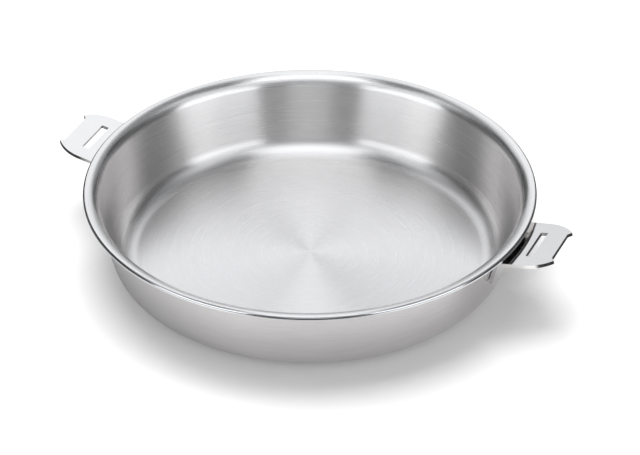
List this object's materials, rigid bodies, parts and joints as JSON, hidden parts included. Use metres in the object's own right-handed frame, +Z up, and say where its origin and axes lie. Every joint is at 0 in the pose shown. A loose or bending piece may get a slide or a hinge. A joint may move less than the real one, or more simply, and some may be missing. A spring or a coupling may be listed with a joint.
{
  "type": "frying pan",
  "caption": "Round flat-bottomed frying pan of clad stainless sheet with a flared lip and two slotted side brackets that take removable handles.",
  "frame": {"origin": "centre of the base's underside, on the surface that the pan stands on", "axes": "+Z up along the pan's axis, +X through the slotted brackets, with the right bracket on +X"},
  "size_m": [0.3326, 0.28, 0.0528],
  "materials": {
    "cooking_surface": "fine circular brushing, with a polished lip",
    "core": "bare metal that shows only at the cut edge of the rim",
    "shell": "satin brushing round the pan",
    "bracket": "mirror polished",
    "weld": "bare fused metal"
  },
  "bodies": {
    "root": {"cooking_surface": "cooking_surface", "aluminium_core": "core", "outer_shell": "shell", "bracket_right": "bracket", "bracket_left": "bracket", "weld_right_1": "weld", "weld_right_2": "weld", "weld_right_3": "weld", "weld_right_4": "weld", "weld_left_1": "weld", "weld_left_2": "weld", "weld_left_3": "weld", "weld_left_4": "weld"}
  },
  "joints": []
}
